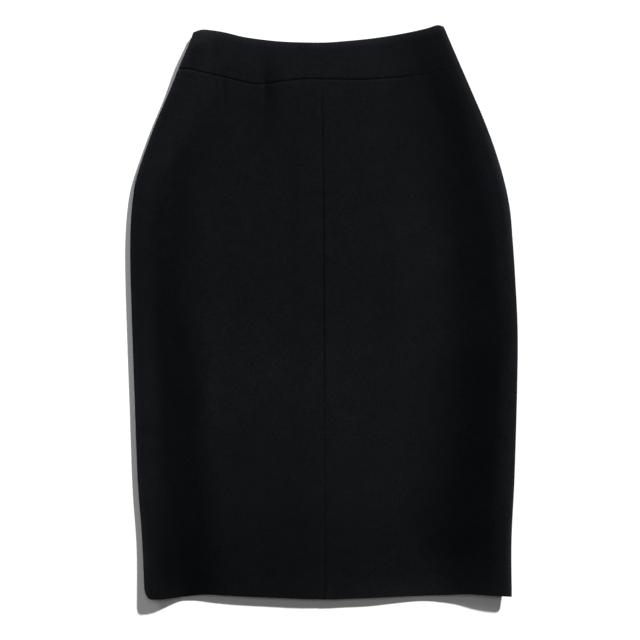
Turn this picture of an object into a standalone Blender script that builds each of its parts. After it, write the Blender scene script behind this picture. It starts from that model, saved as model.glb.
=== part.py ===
"""A pencil skirt laid flat on its back, front up.

It is a tube of cloth with a contoured waistband, a centre-front seam, side seams at the outermost line of
two soft side folds, and a concealed zip in the centre-back seam. X runs across the skirt, Y from hem to waist,
Z up from the surface that the back lies on. Left and right are those of someone who looks down at it. Sizes
are in metres.
"""

import math
from collections import namedtuple

import bmesh
import bpy
from mathutils import Matrix, Vector

# Cloth and seams
LENGTH = 0.7003  # from the lowest point of the hem to the highest point of the waist
PANEL_WALL = 0.0015
BAND_WALL = 0.0020
SEAM_GAP = 0.0003  # between neighbouring pieces
SEAM_STRIP = 0.0006  # upright strip of cloth beside a side seam
FOLD_TOP = 0.0010  # how far the top of a side fold runs on level before it falls to the valley
SHOULDER_REACH = 0.070  # how far in from a valley the front makes the steeper part of its rise to the ridge
SHOULDER_SHARE = 0.80  # of the rise from a valley to the ridge, the share that is made within that reach
BACK_RIM = 0.0100  # how far in from the side seam the back leaves the surface
BACK_TUCK = 0.0015  # the back's hem and waist edges stop this much short of the front's
BACK_TUCK_SHARE = 0.08  # share of the way from the side seam to the centre over which they draw back
BACK_SEAM_UP = 0.6360  # where the back's band seam crosses the centre back

# Outline: how far up the skirt, then the left side, the centre seams and the right side, measured across
# from the middle
Level = namedtuple("Level", "up left seam right")
OUTLINE = [
    Level(0.000, -0.2181, 0.0020, 0.2294),
    Level(0.072, -0.2213, 0.0020, 0.2296),
    Level(0.145, -0.2268, 0.0017, 0.2332),
    Level(0.255, -0.2309, 0.0010, 0.2365),
    Level(0.328, -0.2335, 0.0006, 0.2372),
    Level(0.401, -0.2357, 0.0002, 0.2337),
    Level(0.438, -0.2359, 0.0001, 0.2311),
    Level(0.475, -0.2342, -0.0002, 0.2279),
    Level(0.511, -0.2291, -0.0007, 0.2207),
    Level(0.548, -0.2172, -0.0012, 0.2097),
    Level(0.584, -0.2035, -0.0017, 0.1964),
    Level(0.621, -0.1873, -0.0022, 0.1806),
    Level(0.648, -0.1763, -0.0023, 0.1689),
    Level(0.677, -0.1637, -0.0023, 0.1564),
    Level(0.701, -0.1555, -0.0023, 0.1463),
]

# Heights of the front's outer face: the top of each side fold, the valley beside it and how far in from the
# side seam that lies, and the low ridge along the middle and how far it lies from the centre seam
Swell = namedtuple(
    "Swell",
    "up left_fold left_valley_in left_valley ridge_off ridge right_valley right_valley_in right_fold",
)
SWELLS = [
    Swell(0.000, 0.0140, 0.052, 0.0041, -0.028, 0.0088, 0.0058, 0.090, 0.0140),
    Swell(0.070, 0.0104, 0.045, 0.0053, -0.022, 0.0093, 0.0049, 0.086, 0.0137),
    Swell(0.140, 0.0096, 0.040, 0.0067, -0.018, 0.0099, 0.0047, 0.084, 0.0136),
    Swell(0.250, 0.0095, 0.036, 0.0075, -0.013, 0.0108, 0.0048, 0.082, 0.0135),
    Swell(0.360, 0.0097, 0.034, 0.0077, -0.008, 0.0110, 0.0048, 0.082, 0.0134),
    Swell(0.470, 0.0099, 0.034, 0.0079, -0.002, 0.0108, 0.0048, 0.082, 0.0130),
    Swell(0.542, 0.0098, 0.036, 0.0082, 0.000, 0.0106, 0.0049, 0.070, 0.0125),
    Swell(0.580, 0.0101, 0.038, 0.0087, 0.000, 0.0105, 0.0050, 0.060, 0.0117),
    Swell(0.620, 0.0112, 0.040, 0.0096, 0.000, 0.0104, 0.0053, 0.056, 0.0107),
    Swell(0.645, 0.0134, 0.040, 0.0101, 0.000, 0.0102, 0.0056, 0.054, 0.0099),
    Swell(0.662, 0.0158, 0.036, 0.0098, 0.000, 0.0101, 0.0057, 0.052, 0.0092),
    Swell(0.676, 0.0168, 0.032, 0.0092, 0.000, 0.0100, 0.0058, 0.050, 0.0088),
    Swell(0.688, 0.0122, 0.030, 0.0078, 0.000, 0.0100, 0.0059, 0.048, 0.0084),
    Swell(0.701, 0.0072, 0.030, 0.0064, 0.000, 0.0100, 0.0060, 0.046, 0.0080),
]

# How far in from the side seam the top of each side fold lies, and how high the side seam runs
Side = namedtuple("Side", "up left_rim left_seam right_rim right_seam")
SIDES = [
    Side(0.000, 0.0120, 0.0069, 0.0042, 0.0070),
    Side(0.040, 0.0112, 0.0058, 0.0075, 0.0060),
    Side(0.100, 0.0105, 0.0050, 0.0105, 0.0052),
    Side(0.300, 0.0100, 0.0045, 0.0115, 0.0047),
    Side(0.560, 0.0100, 0.0047, 0.0115, 0.0045),
    Side(0.600, 0.0100, 0.0060, 0.0110, 0.0044),
    Side(0.645, 0.0080, 0.0076, 0.0100, 0.0044),
    Side(0.662, 0.0064, 0.0078, 0.0094, 0.0041),
    Side(0.676, 0.0056, 0.0074, 0.0088, 0.0038),
    Side(0.688, 0.0060, 0.0060, 0.0084, 0.0036),
    Side(0.701, 0.0066, 0.0044, 0.0080, 0.0034),
]

# Edges that run across the front: share of the way from a side seam (-1 left, 1 right) to the centre (0),
# then how far up that edge lies
Edge = namedtuple("Edge", "share up")
HEM = [
    Edge(-1.000, 0.0134),
    Edge(-0.987, 0.0048),
    Edge(-0.970, 0.0013),
    Edge(-0.942, 0.0007),
    Edge(-0.887, 0.0009),
    Edge(-0.776, 0.0030),
    Edge(-0.665, 0.0055),
    Edge(-0.554, 0.0046),
    Edge(-0.333, 0.0024),
    Edge(0.000, 0.0000),
    Edge(0.216, 0.0015),
    Edge(0.431, 0.0034),
    Edge(0.647, 0.0051),
    Edge(0.766, 0.0065),
    Edge(0.863, 0.0056),
    Edge(0.944, 0.0050),
    Edge(1.000, 0.0050),
]
BAND_SEAM = [
    Edge(-1.000, 0.6460),
    Edge(-0.900, 0.6448),
    Edge(-0.680, 0.6368),
    Edge(-0.457, 0.6280),
    Edge(-0.374, 0.6284),
    Edge(-0.164, 0.6334),
    Edge(0.000, 0.6340),
    Edge(0.275, 0.6332),
    Edge(0.560, 0.6368),
    Edge(0.760, 0.6417),
    Edge(1.000, 0.6496),
]
WAIST = [
    Edge(-1.000, 0.6915),
    Edge(-0.950, 0.6945),
    Edge(-0.880, 0.6943),
    Edge(-0.763, 0.6917),
    Edge(-0.605, 0.6859),
    Edge(-0.447, 0.6822),
    Edge(-0.289, 0.6798),
    Edge(-0.130, 0.6789),
    Edge(0.030, 0.6788),
    Edge(0.190, 0.6806),
    Edge(0.356, 0.6832),
    Edge(0.520, 0.6869),
    Edge(0.684, 0.6913),
    Edge(0.848, 0.6963),
    Edge(0.950, 0.7003),
    Edge(1.000, 0.6990),
]

# Concealed zip in the centre-back seam. The back rises a little over the pull tab, which lies flat outside.
ZIP_BOTTOM_UP = 0.490
ZIP_TOP_UP = 0.674
HINGE_UP = 0.664
HINGE_Z = 0.00125
ZIP_LIFT = 0.0005  # between the back's inner face and the zip sewn to it
TAPE_INNER = 0.0024  # from the centre seam to either edge of a tape
TAPE_OUTER = 0.0130
TAPE_WALL = 0.0006
CHAIN_WIDTH = 0.0042
CHAIN_HEIGHT = 0.0014
SLIDER_SIZE = (0.0080, 0.0090, 0.0018)
WEB_SIZE = (0.0012, 0.0050)  # the slider's upright web, across and along, which passes through the parting
NECK_LENGTH = 0.0016  # the narrower neck below the web, which carries the lug
LUG_RADIUS = 0.00095
HOLE_RADIUS = 0.00060
PIN_RADIUS = 0.00038
PULL_LENGTH = 0.0200
PULL_WIDTH = 0.0052  # across the round grip at the tip
PULL_PLATE_WIDTH = 0.0044
PULL_WALL = 0.0011
PULL_ARM = (0.0010, 0.0022)  # from and to, either side of the lug
PULL_ARM_HEIGHT = 0.0008
PULL_ARM_OVERLAP = 0.0008  # of an arm into the plate
PULL_REACH = 0.0016  # from the hinge to where the tab's plate starts
TENT_HEIGHT = 0.0024
TENT_FLAT = 0.0034  # from the centre seam to where the tent starts to fall, and to its foot
TENT_FOOT = 0.0130
TENT_LOW_UP = 0.6365  # up the skirt, where the tent starts and where it reaches its height
TENT_FULL_UP = 0.6425
PARTED_FROM_UP = 0.655
PARTED_FULL_UP = 0.6605
PARTED_HALF = 0.0011  # half the parting above the slider, where its web passes through

# Far points that the outer faces of the front and the back look to
ABOVE = Vector((0, 0, 100))
BELOW = Vector((0, 0, -100))

# How finely the cloth is divided
RIM_ANGLES = [math.radians(angle) for angle in (0, 15, 30, 45, 60, 75, 90)]
BACK_RIM_ANGLES = [math.radians(angle) for angle in (0, 22.5, 45, 67.5, 90)]
FRONT_SHARES = [0.05, 0.10, 0.15, 0.20, 0.26, 0.33, 0.43, 0.58, 0.78, 1.0]
BACK_SHARES = [0.10, 0.25, 0.50, 0.75, 0.88, 0.93, 0.955, 0.975, 1.0]
MIDDLE_ROWS = [0.16 + 0.84 * row / 20 for row in range(20)]
PANEL_ROWS = [0, 0.015, 0.04, 0.075, 0.115] + MIDDLE_ROWS + [0.997, 1]
BACK_PANEL_ROWS = [0, 0.03, 0.115] + MIDDLE_ROWS + [0.997, 1]
BAND_ROWS = [0, 0.04, 0.18, 0.40, 0.70, 1.0]
BACK_BAND_ROWS = [0, 0.04, 0.09, 0.15, 0.22, 0.45, 0.60, 0.72, 1.0]
ZIP_UPS = [ZIP_BOTTOM_UP, 0.533, 0.577, 0.620, TENT_LOW_UP, 0.6385, 0.6405, TENT_FULL_UP]
TAPE_SHARES = [0, 0.25, 0.5, 0.75, 1]

Finish = namedtuple("Finish", "colour roughness metallic")
CLOTH = Finish((0.006, 0.0065, 0.008), 0.85, 0.0)
TAPE = Finish((0.008, 0.008, 0.010), 0.80, 0.0)
COIL = Finish((0.012, 0.012, 0.014), 0.45, 0.0)
METAL = Finish((0.03, 0.03, 0.032), 0.40, 0.6)


def ease(value, start, end):
    """0 before start, 1 after end, and a smooth rise or fall between them."""
    part = min(1.0, max(0.0, (value - start) / (end - start)))
    return part * part * (3 - 2 * part)


def follow(rows, field, at):
    """The value of a table's field between its rows, along a smooth curve. The first field is the key."""
    last = len(rows) - 1
    found = max([n for n in range(last) if rows[n][0] <= at], default=0)

    def value(n):
        return getattr(rows[n], field)

    def slope(n):
        before, after = max(n - 1, 0), min(n + 1, last)
        return (value(after) - value(before)) / (rows[after][0] - rows[before][0])

    start, end = rows[found][0], rows[found + 1][0]
    span = end - start
    t = min(1.0, max(0.0, (at - start) / span))
    return (
        (1 + 2 * t) * (1 - t) ** 2 * value(found)
        + t * (1 - t) ** 2 * span * slope(found)
        + t * t * (3 - 2 * t) * value(found + 1)
        + t * t * (t - 1) * span * slope(found + 1)
    )


def side_line(side, up):
    """Where the side seam lies across. Side is -1 on the left and 1 on the right."""
    return follow(OUTLINE, "left" if side < 0 else "right", up)


def centre_line(up):
    return follow(OUTLINE, "seam", up)


def swell(side, what, up):
    return follow(SWELLS, ("left_" if side < 0 else "right_") + what, up)


def side_fold(side, what, up):
    return follow(SIDES, ("left_" if side < 0 else "right_") + what, up)


def front_height(side, inset, up):
    """The front's outer face: from the side fold down to the valley, up to the ridge, and on past it."""
    fold, valley = swell(side, "fold", up), swell(side, "valley", up)
    valley_in = swell(side, "valley_in", up)
    ridge, ridge_off = follow(SWELLS, "ridge", up), follow(SWELLS, "ridge_off", up)
    half_width = abs(side_line(side, up) - centre_line(up))
    ridge_in = half_width + side * -ridge_off
    if inset < valley_in:
        return fold + (valley - fold) * ease(inset, side_fold(side, "rim", up) + FOLD_TOP, valley_in)
    if inset < ridge_in:
        risen = SHOULDER_SHARE * ease(inset, valley_in, valley_in + SHOULDER_REACH)
        risen += (1 - SHOULDER_SHARE) * ease(inset, valley_in, ridge_in)
        return valley + (ridge - valley) * risen
    far_valley_in = abs(side_line(-side, up) - side_line(side, up)) - swell(-side, "valley_in", up)
    return ridge + (swell(-side, "valley", up) - ridge) * ease(inset, ridge_in, far_valley_in)


def back_height(across, up):
    """The back's outer face lies on the surface, but for where it rises over the pull tab."""
    rise = TENT_HEIGHT * ease(up, TENT_LOW_UP, TENT_FULL_UP)
    return rise * (1 - ease(abs(across - centre_line(up)), TENT_FLAT, TENT_FOOT))


def parting(up):
    """Half the gap between the two halves of the back."""
    return SEAM_GAP / 2 + (PARTED_HALF - SEAM_GAP / 2) * ease(up, PARTED_FROM_UP, PARTED_FULL_UP)


def front_edge(table, side, share):
    """How far up a cross edge of the front lies, at a share of the way in from the side seam."""
    return follow(table, "up", side * (1 - share))


def back_edge(table, side, share):
    """The back's edges start with the front's at the side seam and then keep just inside them."""
    if table is BAND_SEAM:
        at_side = front_edge(table, side, 0)
        return at_side + (BACK_SEAM_UP - at_side) * ease(share, 0, 1)
    tuck = BACK_TUCK * ease(share, 0, BACK_TUCK_SHARE)
    return front_edge(table, side, share) + (tuck if table is HEM else -tuck)


def placed(across, up, z):
    return Vector((across, up - LENGTH / 2, z))


def rim_width(side, front, up):
    return side_fold(side, "rim", up) if front else BACK_RIM


def share_in(side, part, front, level):
    """How far in from the side seam a part of the section lies, as a share of the way to the centre."""
    kind, amount = part
    half_width = abs(side_line(side, level) - centre_line(level))
    rim = rim_width(side, front, level)
    if kind == "seam":
        return 0.0
    if kind == "rim":
        return rim * (1 - math.cos(amount)) / half_width
    return (rim + amount * (half_width - rim)) / half_width


def up_between(front, side, part, along, low, high):
    """How far up a point lies that is a share of the way along from the low edge to the high edge."""
    edge = front_edge if front else back_edge
    ups = []
    for table, shift in (low, high):
        level = edge(table, side, 1)
        ups.append(edge(table, side, share_in(side, part, front, level)) + shift)
    return ups[0] + (ups[1] - ups[0]) * along


def front_point(side, part, along, low, high, half_gap):
    """A point of the front's outer face. Part is an angle round the side fold, or a share from there to the
    centre seam; along is the share of the way from the low edge to the high edge."""
    kind, amount = part
    up = up_between(True, side, part, along, low, high)
    edge = side_line(side, up)
    rim = rim_width(side, True, up)
    base = side_fold(side, "seam", up) + SEAM_GAP / 2
    if kind == "seam":
        return placed(edge, up, base)
    if kind == "rim":
        shoulder = base + SEAM_STRIP
        fold = swell(side, "fold", up)
        across = edge - side * rim * (1 - math.cos(amount))
        return placed(across, up, shoulder + (fold - shoulder) * math.sin(amount))
    reach = abs(edge - centre_line(up)) - half_gap
    inset = rim + amount * (reach - rim)
    return placed(edge - side * inset, up, front_height(side, inset, up))


def back_point(side, part, along, low, high):
    """A point of the back's outer face, which faces down."""
    kind, amount = part
    up = up_between(False, side, part, along, low, high)
    edge = side_line(side, up)
    base = side_fold(side, "seam", up) - SEAM_GAP / 2
    if kind == "seam":
        return placed(edge, up, base)
    if kind == "rim":
        shoulder = base - SEAM_STRIP
        across = edge - side * BACK_RIM * (1 - math.cos(amount))
        return placed(across, up, shoulder * (1 - math.sin(amount)))
    reach = abs(edge - centre_line(up)) - parting(up)
    across = edge - side * (BACK_RIM + amount * (reach - BACK_RIM))
    return placed(across, up, back_height(across, up))


def material(name, finish):
    found = bpy.data.materials.get(name)
    if found:
        return found
    made = bpy.data.materials.new(name)
    made.use_nodes = True
    shader = made.node_tree.nodes["Principled BSDF"]
    shader.inputs["Base Color"].default_value = (*finish.colour, 1)
    shader.inputs["Roughness"].default_value = finish.roughness
    shader.inputs["Metallic"].default_value = finish.metallic
    made.diffuse_color = (*finish.colour, 1)
    return made


def add_object(name, mesh, finish, collection):
    made = bpy.data.objects.new(name, mesh)
    mesh.materials.append(material(name + "_finish", finish))
    collection.objects.link(made)
    return made


def loft(name, rows, outward, wall, finish, collection):
    """An open sheet through rows of points, thickened inwards. Its outer face looks to the point outward."""
    form = bmesh.new()
    rings = [[form.verts.new(point) for point in row] for row in rows]
    for lower, upper in zip(rings, rings[1:]):
        for n in range(len(lower) - 1):
            form.faces.new((lower[n], lower[n + 1], upper[n + 1], upper[n]))
    form.normal_update()
    facing = 0
    for face in form.faces:
        facing += (outward - face.calc_center_median()).dot(face.normal) * face.calc_area()
    if facing < 0:
        bmesh.ops.reverse_faces(form, faces=form.faces)
    mesh = bpy.data.meshes.new(name)
    form.to_mesh(mesh)
    form.free()
    made = add_object(name, mesh, finish, collection)
    thick = made.modifiers.new("Wall", "SOLIDIFY")
    thick.thickness = wall
    thick.offset = -1
    thick.use_even_offset = True
    mesh.shade_smooth()
    return made


def cloth_parts(angles, shares):
    """Where a section has its points, from the side seam to the centre."""
    return [("seam", 0)] + [("rim", angle) for angle in angles] + [("face", share) for share in shares]


def make_front(collection):
    """Two panels and a band in one piece."""
    low, high = (HEM, 0), (BAND_SEAM, -SEAM_GAP / 2)
    parts = cloth_parts(RIM_ANGLES, FRONT_SHARES)
    for side, name in ((-1, "front_panel_left"), (1, "front_panel_right")):
        rows = []
        for along in PANEL_ROWS:
            rows.append([front_point(side, part, along, low, high, SEAM_GAP / 2) for part in parts])
        loft(name, rows, ABOVE, PANEL_WALL, CLOTH, collection)
    low, high = (BAND_SEAM, SEAM_GAP / 2), (WAIST, 0)
    rows = []
    for along in BAND_ROWS:
        left = [front_point(-1, part, along, low, high, 0) for part in parts]
        right = [front_point(1, part, along, low, high, 0) for part in parts[:-1]]
        rows.append(left + right[::-1])
    loft("front_band", rows, ABOVE, BAND_WALL, CLOTH, collection)


def make_back(collection):
    """Two panels, and a band in two halves."""
    parts = cloth_parts(BACK_RIM_ANGLES, BACK_SHARES)
    pieces = (
        ("back_panel", (HEM, 0), (BAND_SEAM, -SEAM_GAP / 2), BACK_PANEL_ROWS, PANEL_WALL),
        ("back_band", (BAND_SEAM, SEAM_GAP / 2), (WAIST, 0), BACK_BAND_ROWS, BAND_WALL),
    )
    for piece, low, high, alongs, wall in pieces:
        for side, word in ((-1, "left"), (1, "right")):
            rows = [[back_point(side, part, along, low, high) for part in parts] for along in alongs]
            loft(f"{piece}_{word}", rows, BELOW, wall, CLOTH, collection)


def inner_face(across, up):
    """The height of the back's inner face, with the gap that a piece sewn to it keeps."""
    return back_height(across, up) + BAND_WALL + ZIP_LIFT


def make_tapes(collection):
    for side, word in ((-1, "left"), (1, "right")):
        rows = []
        for up in ZIP_UPS + [ZIP_TOP_UP]:
            row = []
            for share in TAPE_SHARES:
                across = centre_line(up) + side * (TAPE_INNER + (TAPE_OUTER - TAPE_INNER) * share)
                row.append(placed(across, up, inner_face(across, up)))
            rows.append(row)
        loft("zip_tape_" + word, rows, BELOW, TAPE_WALL, TAPE, collection)


def make_chain(collection):
    """The closed coil, a low ridge between the tapes that ends at the slider."""
    top_up = HINGE_UP - SLIDER_SIZE[1] / 2 - SEAM_GAP
    rows = []
    for up in ZIP_UPS + [top_up]:
        middle = centre_line(up)
        z = inner_face(middle, up)
        rows.append([placed(middle + sign * CHAIN_WIDTH / 2, up, z) for sign in (-1, 0, 1)])
    loft("zip_chain", rows, BELOW, CHAIN_HEIGHT, COIL, collection)


def box(name, size, centre):
    bpy.ops.mesh.primitive_cube_add(size=1, location=centre)
    made = bpy.context.object
    made.name = name
    made.data.transform(Matrix.Diagonal((*size, 1)))
    return made


def disc(name, radius, depth, centre, axis):
    """A cylinder along X or Z."""
    bpy.ops.mesh.primitive_cylinder_add(vertices=20, radius=radius, depth=depth, location=centre)
    made = bpy.context.object
    made.name = name
    if axis == "X":
        made.rotation_euler.y = math.pi / 2
    return made


def combine(target, tool, operation, helpers):
    """A Boolean that keeps its tool as a hidden helper."""
    step = target.modifiers.new(tool.name, "BOOLEAN")
    step.operation = operation
    step.object = tool
    tool.hide_render = True
    tool.display_type = "WIRE"
    for owner in list(tool.users_collection):
        owner.objects.unlink(tool)
    helpers.objects.link(tool)


def keep(made, finish, collection):
    for owner in list(made.users_collection):
        owner.objects.unlink(made)
    collection.objects.link(made)
    made.data.materials.append(material(made.name + "_finish", finish))


def hinge_point():
    return Vector((centre_line(HINGE_UP), HINGE_UP - LENGTH / 2, HINGE_Z))


def make_slider(collection, helpers):
    """The slider's body inside the band, its neck through the parting, and the lug that holds the pull tab."""
    hinge = hinge_point()
    body_low = inner_face(hinge.x, HINGE_UP) + TAPE_WALL + SEAM_GAP
    middle = body_low + SLIDER_SIZE[2] / 2
    body = box("zip_slider", SLIDER_SIZE, (hinge.x, hinge.y, middle))
    web_low = TENT_HEIGHT + SEAM_GAP
    web = box("web", (*WEB_SIZE, middle - web_low), (hinge.x, hinge.y, (web_low + middle) / 2))
    neck_size = (WEB_SIZE[0], NECK_LENGTH, middle - HINGE_Z)
    neck = box("neck", neck_size, (hinge.x, hinge.y, (HINGE_Z + middle) / 2))
    lug = disc("lug", LUG_RADIUS, WEB_SIZE[0], hinge, "X")
    hole = disc("hole", HOLE_RADIUS, WEB_SIZE[0] * 3, hinge, "X")
    combine(body, web, "UNION", helpers)
    combine(body, neck, "UNION", helpers)
    combine(body, lug, "UNION", helpers)
    combine(body, hole, "DIFFERENCE", helpers)
    keep(body, METAL, collection)


def make_pull(collection, helpers):
    """The pull tab, which turns about a pin in the slider's lug and lies flat along the seam."""
    hinge = hinge_point()
    grip_radius = PULL_WIDTH / 2
    plate_length = PULL_LENGTH - PULL_REACH - grip_radius
    plate_y = hinge.y - PULL_REACH - plate_length / 2
    plate = box("zip_pull", (PULL_PLATE_WIDTH, plate_length, PULL_WALL), (hinge.x, plate_y, HINGE_Z))
    grip = disc("grip", grip_radius, PULL_WALL, (hinge.x, hinge.y - PULL_LENGTH + grip_radius, HINGE_Z), "Z")
    combine(plate, grip, "UNION", helpers)
    arm_end = PULL_ARM_HEIGHT / 2
    arm_size = (PULL_ARM[1] - PULL_ARM[0], PULL_REACH + arm_end + PULL_ARM_OVERLAP, PULL_ARM_HEIGHT)
    for side in (-1, 1):
        arm_x = hinge.x + side * (PULL_ARM[0] + PULL_ARM[1]) / 2
        arm = box("arm", arm_size, (arm_x, hinge.y + arm_end - arm_size[1] / 2, HINGE_Z))
        combine(plate, arm, "UNION", helpers)
    pin = disc("pin", PIN_RADIUS, PULL_ARM[0] + PULL_ARM[1], hinge, "X")
    combine(plate, pin, "UNION", helpers)
    keep(plate, METAL, collection)


def main():
    for old in list(bpy.data.objects):
        bpy.data.objects.remove(old, do_unlink=True)
    collection = bpy.data.collections.new("Pencil skirt")
    helpers = bpy.data.collections.new("Cutters and helpers")
    for made in (collection, helpers):
        bpy.context.scene.collection.children.link(made)
    make_front(collection)
    make_back(collection)
    make_tapes(collection)
    make_chain(collection)
    make_slider(collection, helpers)
    make_pull(collection, helpers)


main()
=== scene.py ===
import math
from collections import namedtuple

import bpy
import numpy as np
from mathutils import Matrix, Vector


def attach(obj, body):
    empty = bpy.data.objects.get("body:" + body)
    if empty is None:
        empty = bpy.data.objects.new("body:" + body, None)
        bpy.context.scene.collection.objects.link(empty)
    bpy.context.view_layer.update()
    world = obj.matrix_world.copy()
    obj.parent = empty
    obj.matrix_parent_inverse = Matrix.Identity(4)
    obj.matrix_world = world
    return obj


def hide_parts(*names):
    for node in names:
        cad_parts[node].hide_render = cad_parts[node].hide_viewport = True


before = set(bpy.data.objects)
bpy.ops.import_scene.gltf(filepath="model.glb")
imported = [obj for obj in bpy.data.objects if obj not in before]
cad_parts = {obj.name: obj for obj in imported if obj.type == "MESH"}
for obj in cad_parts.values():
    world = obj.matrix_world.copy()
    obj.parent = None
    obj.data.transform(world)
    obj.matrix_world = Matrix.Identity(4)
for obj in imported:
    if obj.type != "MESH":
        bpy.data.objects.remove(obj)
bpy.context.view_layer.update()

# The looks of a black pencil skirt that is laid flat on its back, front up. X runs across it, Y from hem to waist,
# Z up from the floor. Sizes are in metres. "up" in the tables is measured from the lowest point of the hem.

LENGTH = 0.7003
SEAM_GAP = 0.0003  # between two pieces that are sewn together
SEAM_STRIP = 0.0006  # the upright strip of each piece beside a side seam
FOLD_TOP = 0.0010  # the level top of a side fold
SHOULDER_REACH = 0.070  # from a valley the front rises this share of its way to the ridge in this distance
SHOULDER_SHARE = 0.80
BACK_RIM = 0.0100  # over this width the back turns up to a side seam
LEAN_UP = 0.050  # up to here the back's right rim leans out in a straight line, and is wider by this share
LEAN_WIDER = 0.60
BACK_TUCK = 0.0015  # the back ends short of the front's edges, from the first share of its half width to the second
BACK_TUCK_SHARES = (0.05, 0.12)
BACK_SEAM_UP = 0.6360  # the back bands' seam, at the centre

Level = namedtuple("Level", "up left seam right")
OUTLINE = [
    Level(0.000, -0.2181, 0.0020, 0.2294),
    Level(0.072, -0.2213, 0.0020, 0.2296),
    Level(0.145, -0.2268, 0.0017, 0.2332),
    Level(0.255, -0.2309, 0.0010, 0.2365),
    Level(0.328, -0.2335, 0.0006, 0.2372),
    Level(0.401, -0.2357, 0.0002, 0.2337),
    Level(0.438, -0.2359, 0.0001, 0.2311),
    Level(0.475, -0.2342, -0.0002, 0.2279),
    Level(0.511, -0.2291, -0.0007, 0.2207),
    Level(0.548, -0.2172, -0.0012, 0.2097),
    Level(0.584, -0.2035, -0.0017, 0.1964),
    Level(0.621, -0.1873, -0.0022, 0.1806),
    Level(0.648, -0.1763, -0.0023, 0.1689),
    Level(0.677, -0.1637, -0.0023, 0.1564),
    Level(0.701, -0.1555, -0.0023, 0.1463),
]

# Heights of the front's outer face: the side folds, the valleys beside them and the ridge along the middle
Swell = namedtuple(
    "Swell",
    "up left_fold left_valley_in left_valley ridge_off ridge right_valley right_valley_in right_fold",
)
SWELLS = [
    Swell(0.000, 0.0152, 0.052, 0.0041, -0.028, 0.0088, 0.0055, 0.106, 0.0151),
    Swell(0.070, 0.0104, 0.045, 0.0053, -0.022, 0.0093, 0.0049, 0.086, 0.0137),
    Swell(0.140, 0.0096, 0.040, 0.0067, -0.018, 0.0099, 0.0047, 0.084, 0.0136),
    Swell(0.250, 0.0095, 0.036, 0.0075, -0.013, 0.0108, 0.0048, 0.082, 0.0135),
    Swell(0.360, 0.0097, 0.034, 0.0077, -0.008, 0.0110, 0.0048, 0.082, 0.0134),
    Swell(0.470, 0.0099, 0.034, 0.0079, -0.002, 0.0108, 0.0048, 0.082, 0.0130),
    Swell(0.542, 0.0098, 0.036, 0.0082, 0.000, 0.0106, 0.0049, 0.070, 0.0125),
    Swell(0.580, 0.0110, 0.038, 0.0087, 0.000, 0.0105, 0.0050, 0.060, 0.0117),
    Swell(0.620, 0.0126, 0.040, 0.0096, 0.000, 0.0104, 0.0053, 0.056, 0.0107),
    Swell(0.645, 0.0150, 0.040, 0.0101, 0.000, 0.0102, 0.0056, 0.054, 0.0099),
    Swell(0.662, 0.0174, 0.036, 0.0098, 0.000, 0.0101, 0.0057, 0.052, 0.0092),
    Swell(0.676, 0.0176, 0.032, 0.0092, 0.000, 0.0100, 0.0058, 0.050, 0.0088),
    Swell(0.688, 0.0122, 0.030, 0.0078, 0.000, 0.0100, 0.0059, 0.048, 0.0084),
    Swell(0.701, 0.0072, 0.030, 0.0064, 0.000, 0.0100, 0.0060, 0.046, 0.0080),
]

# How far in from the side seam the top of each side fold lies, and how high the side seam runs
Side = namedtuple("Side", "up left_rim left_seam right_rim right_seam")
SIDES = [
    Side(0.000, 0.0134, 0.0069, 0.0044, 0.0130),
    Side(0.040, 0.0112, 0.0058, 0.0075, 0.0074),
    Side(0.100, 0.0105, 0.0050, 0.0105, 0.0052),
    Side(0.300, 0.0100, 0.0045, 0.0115, 0.0047),
    Side(0.560, 0.0100, 0.0047, 0.0115, 0.0045),
    Side(0.600, 0.0100, 0.0060, 0.0110, 0.0044),
    Side(0.645, 0.0062, 0.0076, 0.0100, 0.0044),
    Side(0.662, 0.0042, 0.0078, 0.0094, 0.0041),
    Side(0.676, 0.0032, 0.0074, 0.0088, 0.0038),
    Side(0.688, 0.0036, 0.0060, 0.0084, 0.0036),
    Side(0.701, 0.0048, 0.0044, 0.0080, 0.0034),
]

# Edges across the front: share of the way from a side seam (-1 left, 1 right) to the centre (0), and how far up
Edge = namedtuple("Edge", "share up")
HEM = [
    Edge(-1.000, 0.0134),
    Edge(-0.987, 0.0048),
    Edge(-0.970, 0.0013),
    Edge(-0.942, 0.0007),
    Edge(-0.887, 0.0009),
    Edge(-0.776, 0.0030),
    Edge(-0.665, 0.0055),
    Edge(-0.554, 0.0046),
    Edge(-0.333, 0.0024),
    Edge(0.000, 0.0000),
    Edge(0.216, 0.0015),
    Edge(0.431, 0.0034),
    Edge(0.647, 0.0051),
    Edge(0.766, 0.0065),
    Edge(0.863, 0.0056),
    Edge(0.944, 0.0047),
    Edge(1.000, 0.0041),
]
BAND_SEAM = [
    Edge(-1.000, 0.6460),
    Edge(-0.900, 0.6448),
    Edge(-0.680, 0.6368),
    Edge(-0.457, 0.6280),
    Edge(-0.374, 0.6284),
    Edge(-0.164, 0.6334),
    Edge(0.000, 0.6340),
    Edge(0.275, 0.6332),
    Edge(0.560, 0.6368),
    Edge(0.760, 0.6417),
    Edge(1.000, 0.6496),
]
WAIST = [
    Edge(-1.000, 0.6915),
    Edge(-0.950, 0.6945),
    Edge(-0.880, 0.6943),
    Edge(-0.763, 0.6917),
    Edge(-0.605, 0.6859),
    Edge(-0.447, 0.6822),
    Edge(-0.289, 0.6798),
    Edge(-0.130, 0.6789),
    Edge(0.030, 0.6788),
    Edge(0.190, 0.6806),
    Edge(0.356, 0.6832),
    Edge(0.520, 0.6869),
    Edge(0.684, 0.6913),
    Edge(0.848, 0.6963),
    Edge(0.950, 0.7003),
    Edge(1.000, 0.6990),
]

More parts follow.
